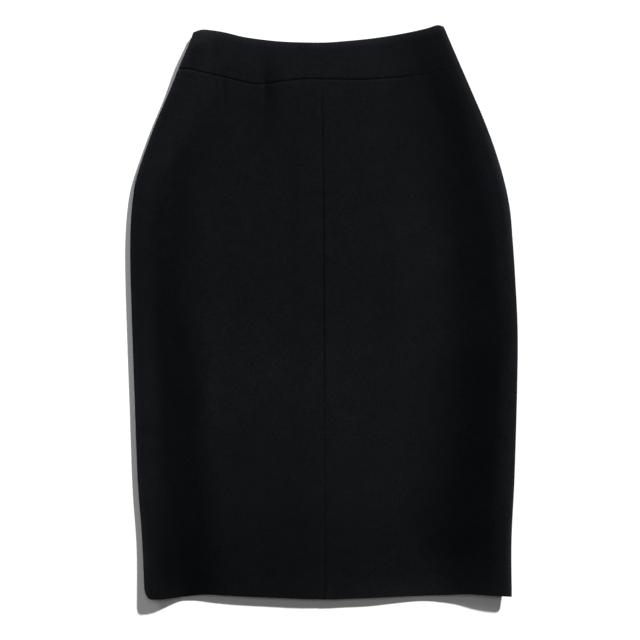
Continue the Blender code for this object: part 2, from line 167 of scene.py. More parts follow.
# Soft creases of the front, from one point to another, with a half width and a height (below 0 for a trough)
Crease = namedtuple("Crease", "x y to_x to_y width height")
CREASES = [
    Crease(-0.070, 0.325, -0.068, 0.190, 0.0085, -0.0009),
    Crease(-0.071, 0.292, -0.069, 0.246, 0.0032, -0.0006),
    Crease(-0.120, 0.296, -0.121, 0.242, 0.0030, -0.0006),
    Crease(-0.133, 0.290, -0.130, 0.262, 0.0028, -0.0003),
    Crease(-0.122, 0.215, -0.082, 0.140, 0.0150, 0.0005),
    Crease(0.082, 0.292, 0.070, 0.090, 0.0130, -0.0005),
    Crease(-0.196, -0.640, -0.212, 0.170, 0.0120, -0.0011),
    Crease(-0.138, -0.640, -0.156, 0.170, 0.0220, 0.0013),
]

# Painted light and shade in the cloth's colour. Along each side is a band of painted shade where the cloth looks
# darker: it sets in from one inset from the side seam to the next, and fades out between two more. The levels are how
# light the cloth is painted left and right of the middle. At the upper left painted light makes it lighter, and along
# each edge a painted highlight.
PaintedShade = namedtuple(
    "PaintedShade",
    "up level_left left left_from left_full left_until left_faded"
    " level_right right right_from right_full right_until right_faded",
)
PAINTED_SHADES = [
    PaintedShade(0.000, 0.60, 0.46, 0.004, 0.034, 0.060, 0.105, 0.90, 0.26, 0.004, 0.034, 0.045, 0.085),
    PaintedShade(0.020, 0.59, 0.52, 0.004, 0.034, 0.070, 0.112, 0.74, 0.34, 0.006, 0.034, 0.062, 0.095),
    PaintedShade(0.045, 0.56, 0.48, 0.006, 0.034, 0.060, 0.115, 0.67, 0.36, 0.008, 0.030, 0.060, 0.125),
    PaintedShade(0.097, 0.62, 0.38, 0.010, 0.036, 0.064, 0.112, 0.74, 0.54, 0.006, 0.034, 0.066, 0.165),
    PaintedShade(0.133, 0.73, 0.44, 0.010, 0.044, 0.068, 0.112, 0.84, 0.60, 0.008, 0.034, 0.060, 0.165),
    PaintedShade(0.206, 0.78, 0.41, 0.004, 0.050, 0.064, 0.100, 0.86, 0.60, 0.008, 0.030, 0.046, 0.160),
    PaintedShade(0.243, 0.86, 0.50, 0.000, 0.050, 0.068, 0.102, 0.81, 0.56, 0.012, 0.029, 0.040, 0.155),
    PaintedShade(0.286, 0.88, 0.48, 0.000, 0.042, 0.062, 0.105, 0.83, 0.60, 0.006, 0.029, 0.040, 0.150),
    PaintedShade(0.322, 0.80, 0.45, 0.002, 0.036, 0.054, 0.100, 0.78, 0.44, 0.000, 0.026, 0.038, 0.135),
    PaintedShade(0.396, 0.71, 0.33, 0.004, 0.034, 0.048, 0.080, 0.74, 0.38, 0.014, 0.030, 0.048, 0.120),
    PaintedShade(0.432, 0.73, 0.28, 0.006, 0.030, 0.058, 0.095, 0.77, 0.40, 0.010, 0.028, 0.052, 0.095),
    PaintedShade(0.499, 0.72, 0.24, 0.020, 0.046, 0.060, 0.085, 0.75, 0.34, 0.014, 0.040, 0.052, 0.150),
    PaintedShade(0.554, 0.70, 0.13, 0.034, 0.050, 0.056, 0.080, 0.75, 0.34, 0.016, 0.038, 0.056, 0.150),
    PaintedShade(0.597, 0.71, 0.00, 0.040, 0.050, 0.060, 0.080, 0.77, 0.30, 0.010, 0.026, 0.092, 0.135),
    PaintedShade(0.629, 0.78, 0.00, 0.040, 0.050, 0.060, 0.080, 0.79, 0.31, 0.004, 0.022, 0.080, 0.120),
    PaintedShade(0.650, 0.87, 0.00, 0.040, 0.050, 0.060, 0.080, 0.87, 0.31, 0.000, 0.014, 0.060, 0.118),
    PaintedShade(0.701, 0.90, 0.00, 0.040, 0.050, 0.060, 0.080, 0.92, 0.20, 0.000, 0.012, 0.050, 0.100),
]
LEVELS_MEET = 0.05  # the left level passes into the right one over this distance to either side of the centre
# Painted light at the upper left, and painted highlights along the side edges
Lift = namedtuple("Lift", "up left_lift left_reach left_edge right_edge")
PAINTED_LIGHTS = [
    Lift(0.000, 0.00, 0.030, 2.10, 0.90),
    Lift(0.090, 0.00, 0.030, 1.80, 0.85),
    Lift(0.160, 0.00, 0.030, 1.35, 0.20),
    Lift(0.380, 0.00, 0.030, 1.05, 0.30),
    Lift(0.460, 0.00, 0.020, 1.00, 1.10),
    Lift(0.499, 0.10, 0.024, 0.85, 1.50),
    Lift(0.530, 0.22, 0.034, 0.85, 1.60),
    Lift(0.579, 0.22, 0.044, 0.95, 0.45),
    Lift(0.629, 0.20, 0.054, 1.10, 0.12),
    Lift(0.652, 0.04, 0.040, 1.35, 0.20),
    Lift(0.701, 0.00, 0.030, 0.50, 0.35),
]
PAINTED_LIGHT_FADE = 0.012
EDGE_REACH = 0.0052  # how far in from an edge the painted highlight reaches, and how strong it is at the waist
WAIST_EDGE = 1.20

# Patches of painted light and shade that make the cloth a little lighter or darker: the middle, the half sizes and by
# how much
Patch = namedtuple("Patch", "x y half_x half_y shade")
PAINTED_PATCHES = [
    Patch(0.155, -0.286, 0.055, 0.024, -0.13),
    Patch(-0.192, -0.306, 0.016, 0.032, -0.10),
    Patch(-0.070, 0.258, 0.015, 0.052, -0.16),
    Patch(-0.062, 0.292, 0.012, 0.014, -0.12),
    Patch(-0.172, 0.308, 0.010, 0.016, 0.45),
    Patch(-0.152, 0.331, 0.014, 0.009, -0.24),
    Patch(-0.0700, 0.268, 0.0022, 0.026, -0.26),
    Patch(-0.1203, 0.272, 0.0020, 0.018, -0.24),
    Patch(0.095, -0.338, 0.034, 0.006, 0.16),
    Patch(-0.034, 0.150, 0.009, 0.090, -0.08),
    Patch(-0.032, -0.060, 0.010, 0.090, -0.07),
    Patch(0.040, -0.090, 0.040, 0.060, 0.06),
]

# Lines of sewing. A stretch sets in from begin to full and goes out from fade to end, and in it a line is less by the
# share, or more where it says so. Numbers below 0 or above 0.71 lie off the skirt.
Stretch = namedtuple("Stretch", "begin full fade end share")
BAND_SHADE_FAINT = [Stretch(0.088, 0.125, 1.0, 2.0, 0.90)]
BAND_GROOVE_FAINT = [Stretch(0.088, 0.125, 1.0, 2.0, 0.80)]
CENTRE_SHADE_FAINT = [
    Stretch(0.605, 0.622, 1.0, 2.0, 0.75),
    Stretch(-2.0, -1.0, 0.235, 0.285, 0.60),
    Stretch(0.010, 0.020, 0.022, 0.034, 0.70),
]
CENTRE_GROOVE_FAINT = [Stretch(0.596, 0.622, 1.0, 2.0, 0.65), Stretch(-2.0, -1.0, 0.235, 0.285, 0.65)]
CENTRE_BROAD = Stretch(0.27, 0.33, 0.48, 0.54, 0.50)  # where the dark beside the centre seam reaches further
SEAM_SHADE = 0.38  # how much painted shade darkens the cloth in a line of sewing, and how far to either side
SEAM_SHADE_REACH = 0.0013
Groove = namedtuple("Groove", "depth half_width")
BAND_GROOVE = Groove(0.0004, 0.0013)
PANEL_TOP_GROOVE = Groove(0.0004, 0.0016)
CENTRE_GROOVE = Groove(0.0005, 0.0011)
BACK_BAND_GROOVE = Groove(0.0005, 0.0012)
BACK_CENTRE_GROOVE = Groove(0.0006, 0.0010)
PUCKER_HEIGHT = 0.00004
PUCKER_REACH = 0.004
BAND_PUCKER = 1.2  # the band's seam puckers this much more than the centre seam

# Zip in the centre-back seam, with the tent of the back band over its pull tab
ZIP_BOTTOM_UP = 0.490
ZIP_TOP_UP = 0.674
ZIP_CLEAR = 0.0003  # between the zip and the inside of the cloth
ZIP_ONTO_BAND = (0.610, 0.632)  # where it climbs from the panel on to the thicker band
SLIDER_CLEAR = 0.0005  # how much higher it lies at the slider, and where it climbs to that
SLIDER_CLIMB = (0.640, 0.655)
TAPE_INNER = 0.0016  # from the centre seam to either edge of a tape
TAPE_OUTER = 0.0130
TAPE_WALL = 0.0005
TAPE_ROWS = 74
TAPE_COLUMNS = 13
TAPE_STITCHES = (0.0044, 0.0108)  # the two lines that sew each tape on, from the centre seam
TAPE_STITCHED = (0.003, 0.004)  # how far short of the zip's ends they stay
STITCH = 0.0025
STITCH_GAP = 0.0005
THREAD = 0.00012  # radius
COIL_FOOT = 0.0010
COIL_TOP_UP = 0.6588
COIL_OFF = 0.0009
COIL_RADIUS = 0.00095
COIL_HEIGHT = 0.0011
COIL_WIRE = 0.00022
COIL_PITCH = 0.0012
COIL_STEPS = 10  # points to a turn
TACK_ROWS = 6  # the bar tack over the zip's lower end
TACK_FOOT = 0.0004
TACK_PITCH = 0.00035
TACK_HALF = 0.0036
METAL_EDGE = 0.00022  # how far the slider's and the pull tab's edges are rounded
TENT_HEIGHT = 0.0024
TENT_FLAT = 0.0034
TENT_FOOT = 0.0130
TENT_LOW_UP = 0.6365
TENT_FULL_UP = 0.6425
PARTED_FROM_UP = 0.655
PARTED_FULL_UP = 0.6605
PARTED_HALF = 0.0011

# How the cloth is made up
CLOTH_WALL = 0.00075
FOLD_RADIUS = 0.00080  # outer radius of the turned-up hem's fold
FOLD_STEPS = 9
HEM_DEPTH = 0.032
BAND_WALL = 0.0017
WEAVE = 1500  # pebbles of the weave to a metre
FLECKS = 420  # of the dye, to a metre, and how far each swings the colour
FLECK_SWING = 1.05
BLOTCHES = 62
BLOTCH_SWING = 0.48
BAND_PROUD = 0.0002  # the band, of doubled cloth, stands this much over the panels
ROLL_IN = 0.0009  # how far the cloth rolls in at a side seam, and over what height
ROLL_HEIGHT = 0.0008
CREASE_WANDER = 0.25  # how far a crease strays from its line, in widths
CREASE_FULL = 0.35  # shares of its length: where it is at its full height, and where it starts to fade
CREASE_FADES = 0.60
CREASES_END = (0.003, 0.018)  # how far in from a side seam creases set in
WAVE_HEIGHT = 0.00010
WAVES = [(61, 23, 1.3, 17, -31, 0.4, 1.0), (113, -47, 2.1, 29, 71, 1.1, 0.6)]

# Rows up each piece, and the points across it as shares of the way from the side fold to the centre
LOW_EDGE_KEEPS = (0.010, 0.040)  # rows follow an edge within the first distance, and are free of it at the second
HIGH_EDGE_KEEPS = (0.004, 0.020)
HEM_ROWS = [0.0008, 0.0011, 0.0016, 0.0023, 0.0034, 0.005, 0.007, 0.0095, 0.0125, 0.016, 0.0195, 0.023, 0.026]
HEM_ROWS += [0.0285, 0.0305, 0.032]
SEAM_ROWS = [-0.0065, -0.005, -0.004, -0.0032, -0.0025, -0.0019, -0.0014, -0.0010, -0.0007, -0.0004, -1e-7]
FRONT_ROWS = HEM_ROWS + list(np.arange(0.0345, 0.6255, 0.0029)) + SEAM_ROWS
BACK_ROWS = HEM_ROWS + list(np.arange(0.0375, 0.6225, 0.0058)) + SEAM_ROWS
BAND_BOTTOM = [0, 0.0004, 0.0007, 0.0010, 0.0014, 0.0019, 0.0025, 0.0033, 0.0045, 0.0062]
FRONT_FACE = list(np.arange(0.010, 0.978, 0.0096))
FRONT_FACE += [0.981, 0.985, 0.988, 0.9905, 0.9925, 0.994, 0.9955, 0.997, 0.9983, 1.0]
FRONT_BAND_FACE = FRONT_FACE[:-1] + [0.9995]  # the two halves of the front band are one piece
BACK_FACE = list(np.arange(0.03, 0.93, 0.030))
BACK_FACE += [0.935, 0.944, 0.953, 0.962, 0.971, 0.98, 0.986, 0.99, 0.9935, 0.9965, 1.0]
FRONT_HEM_STITCHES = (24, 2)  # the first of these points that is stitched, and every how many are
BACK_HEM_STITCHES = (15, 1)
LEFT_RIGHT = ((-1, "left"), (1, "right"))


def ease(value, start, end):
    part = np.clip((value - start) / (end - start), 0, 1)
    return part * part * (3 - 2 * part)


def bell(distance, reach):
    """1 on a line, and next to nothing at twice the reach from it."""
    return np.exp(-((distance / reach) ** 2))


def within(value, stretch):
    return ease(value, stretch.begin, stretch.full) * (1 - ease(value, stretch.fade, stretch.end))


def faint(value, stretches):
    """What is left of a line, as a share, where some stretches of it are less."""
    left = 1
    for one in stretches:
        left = left * (1 - one.share * within(value, one))
    return left


def curve(rows, field):
    """A table's column as a smooth curve through its rows, for arrays."""
    keys = np.array([row[0] for row in rows])
    values = np.array([getattr(row, field) for row in rows])
    slopes = np.empty_like(values)
    slopes[1:-1] = (values[2:] - values[:-2]) / (keys[2:] - keys[:-2])
    slopes[0] = (values[1] - values[0]) / (keys[1] - keys[0])
    slopes[-1] = (values[-1] - values[-2]) / (keys[-1] - keys[-2])

    def at(x):
        x = np.asarray(x, float)
        found = np.clip(np.searchsorted(keys, x, side="right") - 1, 0, len(keys) - 2)
        span = keys[found + 1] - keys[found]
        t = np.clip((x - keys[found]) / span, 0, 1)
        return (
            (1 + 2 * t) * (1 - t) ** 2 * values[found]
            + t * (1 - t) ** 2 * span * slopes[found]
            + t * t * (3 - 2 * t) * values[found + 1]
            + t * t * (t - 1) * span * slopes[found + 1]
        )

    return at


SIDE = {-1: curve(OUTLINE, "left"), 1: curve(OUTLINE, "right")}
CENTRE = curve(OUTLINE, "seam")
FOLD = {-1: curve(SWELLS, "left_fold"), 1: curve(SWELLS, "right_fold")}
VALLEY = {-1: curve(SWELLS, "left_valley"), 1: curve(SWELLS, "right_valley")}
VALLEY_IN = {-1: curve(SWELLS, "left_valley_in"), 1: curve(SWELLS, "right_valley_in")}
RIM = {-1: curve(SIDES, "left_rim"), 1: curve(SIDES, "right_rim")}
SEAM_HEIGHT = {-1: curve(SIDES, "left_seam"), 1: curve(SIDES, "right_seam")}
RIDGE = curve(SWELLS, "ridge")
RIDGE_OFF = curve(SWELLS, "ridge_off")
HEM_UP = curve(HEM, "up")
BAND_SEAM_UP = curve(BAND_SEAM, "up")
WAIST_UP = curve(WAIST, "up")
PAINTED_SHADE_CURVES = {field: curve(PAINTED_SHADES, field) for field in PaintedShade._fields[1:]}
PAINTED_SHADE_CURVES.update({field: curve(PAINTED_LIGHTS, field) for field in Lift._fields[1:]})


def table_share(x, up):
    """Where a point lies in the tables of edges: -1 at the left side seam, 0 at the centre, 1 at the right."""
    edge = np.where(x < CENTRE(up), SIDE[-1](up), SIDE[1](up))
    return np.clip((x - CENTRE(up)) / abs(edge - CENTRE(up)), -1, 1)


def front_height(side, inset, up):
    """The CAD's outer face: from the side fold down to the valley, up to the ridge, and on past it."""
    fold, valley, valley_in = FOLD[side](up), VALLEY[side](up), VALLEY_IN[side](up)
    ridge_in = abs(SIDE[side](up) - CENTRE(up)) - side * RIDGE_OFF(up)
    far_in = abs(SIDE[-side](up) - SIDE[side](up)) - VALLEY_IN[-side](up)
    falling = fold + (valley - fold) * ease(inset, RIM[side](up) + FOLD_TOP, valley_in)
    risen = SHOULDER_SHARE * ease(inset, valley_in, valley_in + SHOULDER_REACH)
    risen += (1 - SHOULDER_SHARE) * ease(inset, valley_in, ridge_in)
    rising = valley + (RIDGE(up) - valley) * risen
    beyond = RIDGE(up) + (VALLEY[-side](up) - RIDGE(up)) * ease(inset, ridge_in, far_in)
    return np.where(inset < valley_in, falling, np.where(inset < ridge_in, rising, beyond))


def back_height(x, up):
    """The back lies on the floor, but for the tent over the pull tab."""
    rise = TENT_HEIGHT * ease(up, TENT_LOW_UP, TENT_FULL_UP)
    return rise * (1 - ease(abs(x - CENTRE(up)), TENT_FLAT, TENT_FOOT))


def parting(up):
    """How far the back's edges stand from the centre line, past the sewn seam's own gap."""
    return (PARTED_HALF - SEAM_GAP / 2) * ease(up, PARTED_FROM_UP, PARTED_FULL_UP)


def creases(x, y):
    """Listed creases, and the slight unevenness of cloth that lies as it fell."""
    height = np.zeros_like(x)
    for one in CREASES:
        along = np.array([one.to_x - one.x, one.to_y - one.y])
        length = np.hypot(*along)
        along /= length
        t = ((x - one.x) * along[0] + (y - one.y) * along[1]) / length
        off = (x - one.x) * along[1] - (y - one.y) * along[0]
        off = off + CREASE_WANDER * one.width * np.sin(9 * t + 40 * one.x)
        height += one.height * bell(off, one.width) * ease(t, 0, CREASE_FULL) * (1 - ease(t, CREASE_FADES, 1))
    for x_beat, y_beat, start, x_cross, y_cross, cross_start, share in WAVES:
        wave = np.sin(x_beat * x + y_beat * y + start) * np.sin(x_cross * x + y_cross * y + cross_start)
        height += WAVE_HEIGHT * share * wave
    return height


def painted_shade(x, up):
    """By how much painted light and shade scale the cloth's colour at a point, 1 where it keeps its own colour."""
    shade = PAINTED_SHADE_CURVES["level_left"](up)
    shade = shade + (PAINTED_SHADE_CURVES["level_right"](up) - shade) * ease(x - CENTRE(up), -LEVELS_MEET, LEVELS_MEET)
    for side, word in LEFT_RIGHT:
        inset = np.maximum(side * (SIDE[side](up) - x), 0)
        dark = ease(inset, PAINTED_SHADE_CURVES[word + "_from"](up), PAINTED_SHADE_CURVES[word + "_full"](up))
        dark = dark * (1 - ease(inset, PAINTED_SHADE_CURVES[word + "_until"](up), PAINTED_SHADE_CURVES[word + "_faded"](up)))
        shade = shade * (1 - PAINTED_SHADE_CURVES[word](up) * dark)
        shade = shade + PAINTED_SHADE_CURVES[word + "_edge"](up) * bell(inset, EDGE_REACH)
        if side < 0:
            reach = PAINTED_SHADE_CURVES["left_reach"](up)
            shade = shade + PAINTED_SHADE_CURVES["left_lift"](up) * (1 - ease(inset, reach - PAINTED_LIGHT_FADE, reach + PAINTED_LIGHT_FADE))
    y = up - LENGTH / 2
    for one in PAINTED_PATCHES:
        shade = shade + one.shade * bell(x - one.x, one.half_x) * bell(y - one.y, one.half_y)
    shade = shade + WAIST_EDGE * bell(WAIST_UP(table_share(x, up)) - up, EDGE_REACH)
    return shade * (1 - SEAM_SHADE * sewn(x, up))


def sewn(x, up):
    """Where painted shade darkens the lines of sewing of the front: 1 on a line, 0 away from it. The sines make the
    lines a little uneven.
    """
    band = bell(up - BAND_SEAM_UP(table_share(x, up)), SEAM_SHADE_REACH) * faint(x, BAND_SHADE_FAINT)
    band = band * (0.80 + 0.20 * np.sin(57 * x + 0.6) * np.sin(23 * x))
    reach = SEAM_SHADE_REACH * (1 + CENTRE_BROAD.share * within(up, CENTRE_BROAD))
    centre = bell(x - CENTRE(up), reach) * faint(up, CENTRE_SHADE_FAINT)
    centre = centre * (0.85 + 0.15 * np.sin(190 * up) * np.sin(67 * up + 1))
    return np.clip(band + centre, 0, 1)


def seam_pucker(distance, along):
    """Small uneven gathers that a line of sewing leaves in the cloth beside it."""
    beat = np.sin(560 * along + 3 * np.sin(41 * along)) + 0.6 * np.sin(930 * along + 1.7)
    return PUCKER_HEIGHT * beat * bell(distance, PUCKER_REACH)


def columns(rim_steps, strip_steps, face):
    """Where a section has its points, from the side seam to the centre."""
    made = [("strip", h) for h in np.linspace(0, SEAM_STRIP, strip_steps, endpoint=False)]
    made += [("rim", a) for a in np.linspace(0, math.pi / 2, rim_steps)]
    return made + [("face", share) for share in face]


def share_of(side, part, front, level):
    """How far a point of a section is on the way from the side seam to the centre."""
    kind, amount = part
    rim = float(RIM[side](level)) if front else BACK_RIM
    half_width = abs(SIDE[side](level) - CENTRE(level))
    if kind == "strip":
        return 0.0
    if kind == "rim":
        return rim * (1 - math.cos(amount)) / half_width
    return (rim + amount * (half_width - rim)) / half_width


def front_edge(table, side, share):
    return float({"hem": HEM_UP, "seam": BAND_SEAM_UP, "waist": WAIST_UP}[table](side * (1 - share)))


def back_edge(table, side, share):
    if table == "seam":
        at_side = front_edge(table, side, 0)
        return at_side + (BACK_SEAM_UP - at_side) * float(ease(share, 0, 1))
    tuck = BACK_TUCK * float(ease(share, *BACK_TUCK_SHARES))
    return front_edge(table, side, share) + (tuck if table == "hem" else -tuck)


def surface(side, front, parts, low, high, rows):
    """The outer face as a grid of points, rows from the low edge to the high edge. Rows are distances up from the
    low edge where they are positive, and down from the high edge where they are negative."""
    edge_of = front_edge if front else back_edge
    nominal = edge_of(high, side, 1) - edge_of(low, side, 1)
    rows = np.array(rows)
    from_low = np.where(rows >= 0, rows, nominal + rows)
    grid = np.empty((len(rows), len(parts), 3))
    for n, part in enumerate(parts):
        kind, amount = part
        low_up, high_up = (
            edge_of(table, side, share_of(side, part, front, edge_of(table, side, 1))) for table in (low, high)
        )
        stretched = low_up + from_low * (high_up - low_up) / nominal
        free = ease(from_low, *LOW_EDGE_KEEPS)
        up = stretched * free + (low_up + from_low) * (1 - free)
        free = ease(nominal - from_low, *HIGH_EDGE_KEEPS)
        up = up * free + (high_up - (nominal - from_low)) * (1 - free)
        edge, seam = SIDE[side](up), SEAM_HEIGHT[side](up)
        if front:
            lean, rim, fold, sign = 0, RIM[side](up), FOLD[side](up), 1
        else:
            lean = 1 - ease(up, 0, LEAN_UP) if side > 0 else 0
            rim, fold, sign = BACK_RIM * (1 + LEAN_WIDER * lean), 0, -1
        if kind == "strip":
            x = edge - side * ROLL_IN * bell(amount, ROLL_HEIGHT)
            z = seam + sign * amount
        elif kind == "rim":
            x = edge - side * rim * ((1 - lean) * (1 - math.cos(amount)) + lean * math.sin(amount))
            shoulder = seam + sign * SEAM_STRIP
            z = shoulder + (fold - shoulder) * math.sin(amount)
            x = x - side * ROLL_IN * bell(z - seam, ROLL_HEIGHT)
        else:
            reach = abs(edge - CENTRE(up)) - (0 if front else parting(up))
            inset = rim + amount * (reach - rim)
            x = edge - side * inset
            z = front_height(side, inset, up) if front else back_height(x, up)
        grid[:, n] = np.stack([x, up - LENGTH / 2, z], axis=-1)
    return grid


def unit(vectors):
    return vectors / np.maximum(np.linalg.norm(vectors, axis=-1, keepdims=True), 1e-12)


def faces_of(grid, front):
    """The outward normal of each point of a grid, and the direction up along its column."""
    along = unit(np.gradient(grid, axis=0))
    across = unit(np.gradient(grid, axis=1))
    normal = unit(np.cross(across, along))
    middle = normal[normal.shape[0] // 2, normal.shape[1] // 2, 2]
    if (middle > 0) != front:
        normal = -normal
    return normal, along


def front_relief(x, y, side, band):
    """How far creases, the sunk seams and the sewing's puckers lift the front's outer face."""
    up = y + LENGTH / 2
    lift = creases(x, y) * ease(abs(SIDE[side](up) - x), *CREASES_END)
    seam_off = abs(up - BAND_SEAM_UP(table_share(x, up)))
    deep = faint(x, BAND_GROOVE_FAINT)
    if band:
        groove = (BAND_GROOVE.depth + BAND_PROUD) * bell(seam_off, BAND_GROOVE.half_width)
        lift += deep * (BAND_PROUD - groove)
    else:
        centre_off = abs(x - CENTRE(up))
        lift -= deep * PANEL_TOP_GROOVE.depth * bell(seam_off, PANEL_TOP_GROOVE.half_width)
        groove = CENTRE_GROOVE.depth * bell(centre_off, CENTRE_GROOVE.half_width)
        lift -= groove * faint(up, CENTRE_GROOVE_FAINT)
        lift += seam_pucker(centre_off, y)
    return lift + seam_pucker(seam_off, x + 0.3) * BAND_PUCKER


def back_relief(x, y, side):
    """The back's sunk seams. Its face rests on the floor, so nothing stands out of it."""
    up = y + LENGTH / 2
    at_side = BAND_SEAM_UP(side)
    seam_up = at_side + (BACK_SEAM_UP - at_side) * ease(1 - abs(table_share(x, up)), 0, 1)
    sunk = BACK_BAND_GROOVE.depth * bell(up - seam_up, BACK_BAND_GROOVE.half_width)
    centre = BACK_CENTRE_GROOVE.depth * bell(x - CENTRE(up), BACK_CENTRE_GROOVE.half_width)
    return -sunk - centre * (up < PARTED_FROM_UP)


def shaped(grid, side, front, band):
    normal, _ = faces_of(grid, front)
    x, y = grid[..., 0], grid[..., 1]
    lift = front_relief(x, y, side, band) if front else back_relief(x, y, side)
    return grid + normal * lift[..., None]


def mesh_object(name, points, faces, material):
    mesh = bpy.data.meshes.new(name)
    mesh.from_pydata(points, [], faces)
    mesh.validate()
    mesh.shade_smooth()
    made = bpy.data.objects.new(name, mesh)
    bpy.context.scene.collection.objects.link(made)
    mesh.materials.append(material)
    return made


def shell(name, outer, inner, material):
    """A closed skin between two grids of the same size, with the painted light and shade at each of its points."""
    rows, cols = outer.shape[:2]
    count = rows * cols
    points = np.concatenate([outer.reshape(-1, 3), inner.reshape(-1, 3)])
    index = np.arange(count).reshape(rows, cols)
    first = index[:-1, :-1].ravel()
    quad = np.stack([first, first + 1, first + cols + 1, first + cols], axis=-1)
    under = quad[:, ::-1] + count
    loop = np.concatenate([index[0], index[1:, -1], index[-1, -2::-1], index[-2:0:-1, 0]])
    after = np.roll(loop, -1)
    wall = np.stack([after, loop, loop + count, after + count], axis=-1)
    made = mesh_object(name, points.tolist(), np.concatenate([quad, under, wall]).tolist(), material)
    shades = made.data.attributes.new("painted_shade", "FLOAT", "POINT")
    shades.data.foreach_set("value", painted_shade(points[:, 0], points[:, 1] + LENGTH / 2))
    face = made.data.polygons[(rows // 2) * (cols - 1) + cols // 2]
    if Vector(outer[rows // 2, cols // 2] - inner[rows // 2, cols // 2]).dot(face.normal) < 0:
        made.data.flip_normals()
    return made


def rows_in_hem(rows):
    rows = np.array(rows)
    return int(np.sum((rows >= 0) & (rows <= HEM_DEPTH + 1e-6)))


def turned_up(grid, normal, along, rows):
    """Carries a panel's cloth round a fold at its hem and back up inside. Returns its outer and inner faces."""
    deep = rows_in_hem(rows)
    inside = grid[:deep][::-1] - normal[:deep][::-1] * 2 * FOLD_RADIUS
    inside_normal = -normal[:deep][::-1]
    middle = grid[0] - normal[0] * FOLD_RADIUS
    arc, arc_normal = [], []
    for angle in np.linspace(math.pi, 0, FOLD_STEPS)[1:-1]:
        out = normal[0] * math.cos(angle) - along[0] * math.sin(angle)
        arc.append(middle + out * FOLD_RADIUS)
        arc_normal.append(out)
    face = np.concatenate([inside, np.array(arc), grid])
    facing = np.concatenate([inside_normal, np.array(arc_normal), normal])
    return face, face - facing * CLOTH_WALL


def hem_stitches(grid, normal, rows, first, step):
    """The catch stitch that holds the turned-up hem, to and fro between its edge and the panel."""
    deep = rows_in_hem(rows)
    path = []
    for n in range(first, grid.shape[1], step):
        if len(path) % 2:
            path.append(grid[deep, n] - normal[deep, n] * (CLOTH_WALL + THREAD))
        else:
            path.append(grid[deep - 2, n] - normal[deep - 2, n] * (2 * FOLD_RADIUS + THREAD))
    return np.array(path)


def band_faces(grid, normal, rows_down):
    """A band's outer and inner faces, rounded together at the waist's fold."""
    radius = BAND_WALL / 2
    drop = np.zeros(len(rows_down))
    near = rows_down < radius
    drop[near] = radius - np.sqrt(radius**2 - (radius - rows_down[near]) ** 2)
    drop = drop[:, None, None]
    return grid - normal * drop, grid - normal * (BAND_WALL - drop)


def band_rows(height):
    middle = list(np.arange(0.0085, height - 0.004, 0.0024))
    top = [height - 0.0028, height - 0.0018]
    top += [height - BAND_WALL / 2 * (1 - math.cos(a)) for a in np.linspace(math.pi / 2, 0, 6)]
    return BAND_BOTTOM + middle + top


def fabric(name, colour, roughness, gloss, sheen, bump):
    """Cloth: a fine pebbled weave in the bump, flecks and soft blotches in the dye, and painted light and shade from
    a point attribute that scales the colour.
    """
    made = bpy.data.materials.new(name)
    made.use_nodes = True
    tree = made.node_tree
    shader = tree.nodes["Principled BSDF"]
    where = tree.nodes.new("ShaderNodeTexCoord")
    pebble = tree.nodes.new("ShaderNodeTexVoronoi")
    pebble.inputs["Scale"].default_value = WEAVE
    tree.links.new(where.outputs["Object"], pebble.inputs["Vector"])

    def noise(scale, detail):
        node = tree.nodes.new("ShaderNodeTexNoise")
        node.inputs["Scale"].default_value = scale
        node.inputs["Detail"].default_value = detail
        tree.links.new(where.outputs["Object"], node.inputs["Vector"])
        return node.outputs["Fac"]

    def sum_of(first, second, times):
        """first + second * times, where second swings about 0.5"""
        node = tree.nodes.new("ShaderNodeMath")
        node.operation = "MULTIPLY_ADD"
        tree.links.new(second, node.inputs[0])
        node.inputs[1].default_value = times
        offset = tree.nodes.new("ShaderNodeMath")
        offset.operation = "SUBTRACT"
        tree.links.new(first, offset.inputs[0])
        offset.inputs[1].default_value = times / 2
        tree.links.new(offset.outputs[0], node.inputs[2])
        return node.outputs[0]

    height = sum_of(pebble.outputs["Distance"], noise(WEAVE * 0.45, 2), 1)
    relief = tree.nodes.new("ShaderNodeBump")
    relief.inputs["Strength"].default_value = bump
    relief.inputs["Distance"].default_value = 0.0003
    tree.links.new(height, relief.inputs["Height"])
    tree.links.new(relief.outputs["Normal"], shader.inputs["Normal"])
    # Painted light and shade, read from a point attribute, scale the colour together with the flecks and blotches of
    # the dye
    painted_shade_input = tree.nodes.new("ShaderNodeAttribute")
    painted_shade_input.attribute_name = "painted_shade"
    one = tree.nodes.new("ShaderNodeValue")
    one.outputs[0].default_value = 1
    flecked = sum_of(one.outputs[0], noise(FLECKS, 1), FLECK_SWING)
    dye = sum_of(flecked, noise(BLOTCHES, 3), BLOTCH_SWING)
    level = tree.nodes.new("ShaderNodeMath")
    level.operation = "MULTIPLY"
    tree.links.new(dye, level.inputs[0])
    tree.links.new(painted_shade_input.outputs["Fac"], level.inputs[1])
    shaded = tree.nodes.new("ShaderNodeVectorMath")
    shaded.operation = "SCALE"
    shaded.inputs[0].default_value = colour
    tree.links.new(level.outputs[0], shaded.inputs["Scale"])
    tree.links.new(shaded.outputs[0], shader.inputs["Base Color"])
    shader.inputs["Roughness"].default_value = roughness
    shader.inputs["Specular IOR Level"].default_value = gloss
    shader.inputs["Sheen Weight"].default_value = sheen
    shader.inputs["Sheen Roughness"].default_value = 0.45
    shader.inputs["Sheen Tint"].default_value = (0.75, 0.85, 1.0, 1)
    return made


